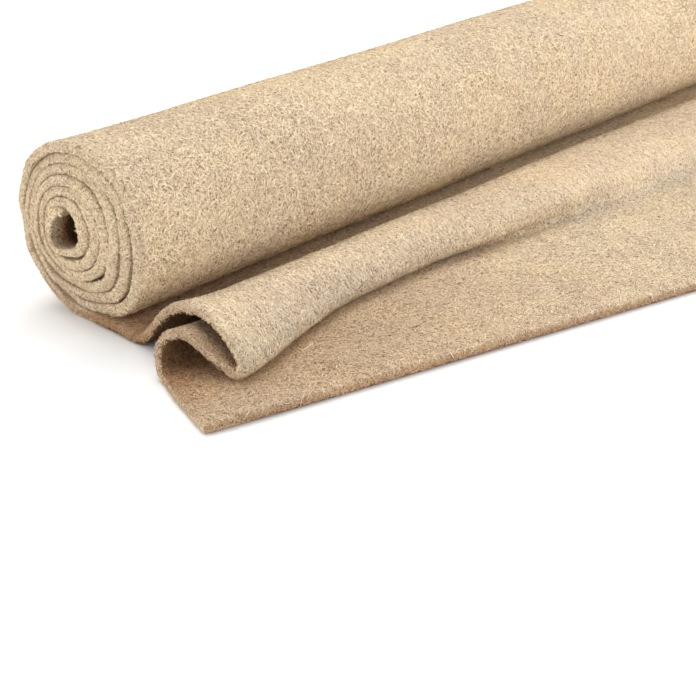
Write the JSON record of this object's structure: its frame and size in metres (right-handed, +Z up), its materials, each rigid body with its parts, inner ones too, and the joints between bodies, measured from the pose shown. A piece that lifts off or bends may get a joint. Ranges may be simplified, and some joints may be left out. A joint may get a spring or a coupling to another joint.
{
  "type": "roll of felt",
  "caption": "Roll of thick natural felt lying down, its loose end drawn out in front in an S fold that opens into one soft ridge.",
  "frame": {"origin": "on the surface that the roll lies on, under the middle of the whole piece", "axes": "+X along the roll from its near end to its far end, -Y the way the loose end runs out, +Z up"},
  "size_m": [0.545, 0.287, 0.0753],
  "materials": {
    "felt": "coarse matted natural wool felt, matt, warm sand colour, light strands and small dark flecks, fuzzy at its cut edges"
  },
  "bodies": {
    "root": {"felt": "felt"}
  },
  "joints": []
}
